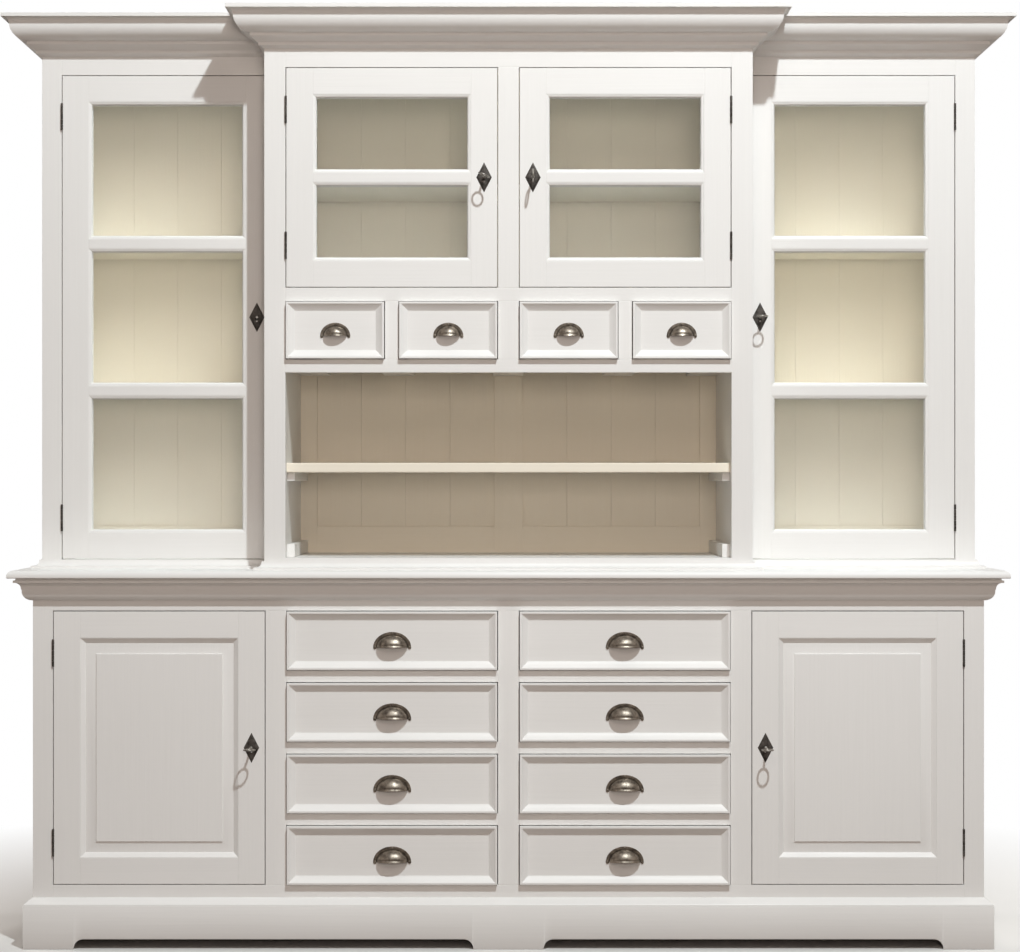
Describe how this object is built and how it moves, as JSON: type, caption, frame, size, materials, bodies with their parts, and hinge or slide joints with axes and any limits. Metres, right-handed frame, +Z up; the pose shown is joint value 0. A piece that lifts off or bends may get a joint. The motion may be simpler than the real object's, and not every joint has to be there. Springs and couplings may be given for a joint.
{
  "type": "hutch",
  "caption": "White painted breakfront hutch with glazed upper cupboards, an open niche, panelled base doors, drawers with cup pulls and turning keys.",
  "frame": {"origin": "on the floor, under the middle of the object's outline", "axes": "+X to the viewer's right, +Y to the back, +Z up; the doors and drawers face -Y"},
  "size_m": [2.364, 0.542, 2.17],
  "materials": {
    "white_paint": "brushed satin paint",
    "cream_paint": "matt paint",
    "aged_brass": "aged, rubbed",
    "black_iron": "dark oxide",
    "key_steel": "dull steel",
    "clear_glass": "clear"
  },
  "bodies": {
    "cabinet": {"plinth_boards": "white_paint", "trim_mouldings": "white_paint", "base_carcase": "white_paint", "base_face_frame": "white_paint", "drawer_runners": "white_paint", "worktop": "white_paint", "upper_carcase": "white_paint", "upper_face_frame": "white_paint", "back_frame": "cream_paint", "back_planks": "cream_paint", "shelves": "cream_paint", "cornices": "white_paint", "hinge_frame_leaves": "black_iron"},
    "left_base_door": {"left_base_door_frame": "white_paint", "left_base_door_panel": "white_paint", "left_base_door_ironwork": "black_iron"},
    "left_base_key": {"left_base_door_key": "key_steel"},
    "right_base_door": {"right_base_door_frame": "white_paint", "right_base_door_panel": "white_paint", "right_base_door_ironwork": "black_iron"},
    "right_base_key": {"right_base_door_key": "key_steel"},
    "left_tall_door": {"left_tall_door_frame": "white_paint", "left_tall_door_glass": "clear_glass", "left_tall_door_ironwork": "black_iron"},
    "right_tall_door": {"right_tall_door_frame": "white_paint", "right_tall_door_glass": "clear_glass", "right_tall_door_ironwork": "black_iron"},
    "right_tall_key": {"right_tall_door_key": "key_steel"},
    "left_centre_door": {"left_centre_door_frame": "white_paint", "left_centre_door_glass": "clear_glass", "left_centre_door_ironwork": "black_iron"},
    "left_centre_key": {"left_centre_door_key": "key_steel"},
    "right_centre_door": {"right_centre_door_frame": "white_paint", "right_centre_door_glass": "clear_glass", "right_centre_door_ironwork": "black_iron"},
    "right_centre_key": {"right_centre_door_key": "key_steel"},
    "left_drawer_4": {"base_drawer_left_4": "white_paint", "base_pull_left_4": "aged_brass"},
    "left_drawer_3": {"base_drawer_left_3": "white_paint", "base_pull_left_3": "aged_brass"},
    "left_drawer_2": {"base_drawer_left_2": "white_paint", "base_pull_left_2": "aged_brass"},
    "left_drawer_1": {"base_drawer_left_1": "white_paint", "base_pull_left_1": "aged_brass"},
    "right_drawer_4": {"base_drawer_right_4": "white_paint", "base_pull_right_4": "aged_brass"},
    "right_drawer_3": {"base_drawer_right_3": "white_paint", "base_pull_right_3": "aged_brass"},
    "right_drawer_2": {"base_drawer_right_2": "white_paint", "base_pull_right_2": "aged_brass"},
    "right_drawer_1": {"base_drawer_right_1": "white_paint", "base_pull_right_1": "aged_brass"},
    "top_drawer_1": {"small_drawer_1": "white_paint", "small_pull_1": "aged_brass"},
    "top_drawer_2": {"small_drawer_2": "white_paint", "small_pull_2": "aged_brass"},
    "top_drawer_3": {"small_drawer_3": "white_paint", "small_pull_3": "aged_brass"},
    "top_drawer_4": {"small_drawer_4": "white_paint", "small_pull_4": "aged_brass"}
  },
  "joints": [
    {"name": "left_base_door_swing", "type": "hinge", "parent": "cabinet", "child": "left_base_door", "pos_m": [-1.053, -0.1919, 0.46275], "axis": [0, 0, -1], "range_deg": [0, 110]},
    {"name": "left_base_key_turn", "type": "hinge", "parent": "left_base_door", "child": "left_base_key", "pos_m": [-0.5945, -0.189, 0.46275], "axis": [0, 1, 0], "range_deg": [0, 90]},
    {"name": "right_base_door_swing", "type": "hinge", "parent": "cabinet", "child": "right_base_door", "pos_m": [1.053, -0.1919, 0.46275], "axis": [0, 0, 1], "range_deg": [0, 110]},
    {"name": "right_base_key_turn", "type": "hinge", "parent": "right_base_door", "child": "right_base_key", "pos_m": [0.5945, -0.189, 0.46275], "axis": [0, -1, 0], "range_deg": [0, 90]},
    {"name": "left_tall_door_swing", "type": "hinge", "parent": "cabinet", "child": "left_tall_door", "pos_m": [-1.053, -0.0769, 1.466], "axis": [0, 0, -1], "range_deg": [0, 110]},
    {"name": "right_tall_door_swing", "type": "hinge", "parent": "cabinet", "child": "right_tall_door", "pos_m": [1.053, -0.0769, 1.466], "axis": [0, 0, 1], "range_deg": [0, 110]},
    {"name": "right_tall_key_turn", "type": "hinge", "parent": "right_tall_door", "child": "right_tall_key", "pos_m": [0.5935, -0.074, 1.466], "axis": [0, -1, 0], "range_deg": [0, 90]},
    {"name": "left_centre_door_swing", "type": "hinge", "parent": "cabinet", "child": "left_centre_door", "pos_m": [-0.515, -0.1919, 1.782], "axis": [0, 0, -1], "range_deg": [0, 110]},
    {"name": "left_centre_key_turn", "type": "hinge", "parent": "left_centre_door", "child": "left_centre_key", "pos_m": [-0.0565, -0.189, 1.782], "axis": [0, 1, 0], "range_deg": [0, 90]},
    {"name": "right_centre_door_swing", "type": "hinge", "parent": "cabinet", "child": "right_centre_door", "pos_m": [0.515, -0.1919, 1.782], "axis": [0, 0, 1], "range_deg": [0, 110]},
    {"name": "right_centre_key_turn", "type": "hinge", "parent": "right_centre_door", "child": "right_centre_key", "pos_m": [0.0565, -0.189, 1.782], "axis": [0, -1, 0], "range_deg": [0, 90]},
    {"name": "left_drawer_4_slide", "type": "slide", "parent": "cabinet", "child": "left_drawer_4", "axis": [0, -1, 0], "range_m": [0, 0.3]},
    {"name": "left_drawer_3_slide", "type": "slide", "parent": "cabinet", "child": "left_drawer_3", "axis": [0, -1, 0], "range_m": [0, 0.3]},
    {"name": "left_drawer_2_slide", "type": "slide", "parent": "cabinet", "child": "left_drawer_2", "axis": [0, -1, 0], "range_m": [0, 0.3]},
    {"name": "left_drawer_1_slide", "type": "slide", "parent": "cabinet", "child": "left_drawer_1", "axis": [0, -1, 0], "range_m": [0, 0.3]},
    {"name": "right_drawer_4_slide", "type": "slide", "parent": "cabinet", "child": "right_drawer_4", "axis": [0, -1, 0], "range_m": [0, 0.3]},
    {"name": "right_drawer_3_slide", "type": "slide", "parent": "cabinet", "child": "right_drawer_3", "axis": [0, -1, 0], "range_m": [0, 0.3]},
    {"name": "right_drawer_2_slide", "type": "slide", "parent": "cabinet", "child": "right_drawer_2", "axis": [0, -1, 0], "range_m": [0, 0.3]},
    {"name": "right_drawer_1_slide", "type": "slide", "parent": "cabinet", "child": "right_drawer_1", "axis": [0, -1, 0], "range_m": [0, 0.3]},
    {"name": "top_drawer_1_slide", "type": "slide", "parent": "cabinet", "child": "top_drawer_1", "axis": [0, -1, 0], "range_m": [0, 0.25]},
    {"name": "top_drawer_2_slide", "type": "slide", "parent": "cabinet", "child": "top_drawer_2", "axis": [0, -1, 0], "range_m": [0, 0.25]},
    {"name": "top_drawer_3_slide", "type": "slide", "parent": "cabinet", "child": "top_drawer_3", "axis": [0, -1, 0], "range_m": [0, 0.25]},
    {"name": "top_drawer_4_slide", "type": "slide", "parent": "cabinet", "child": "top_drawer_4", "axis": [0, -1, 0], "range_m": [0, 0.25]}
  ]
}
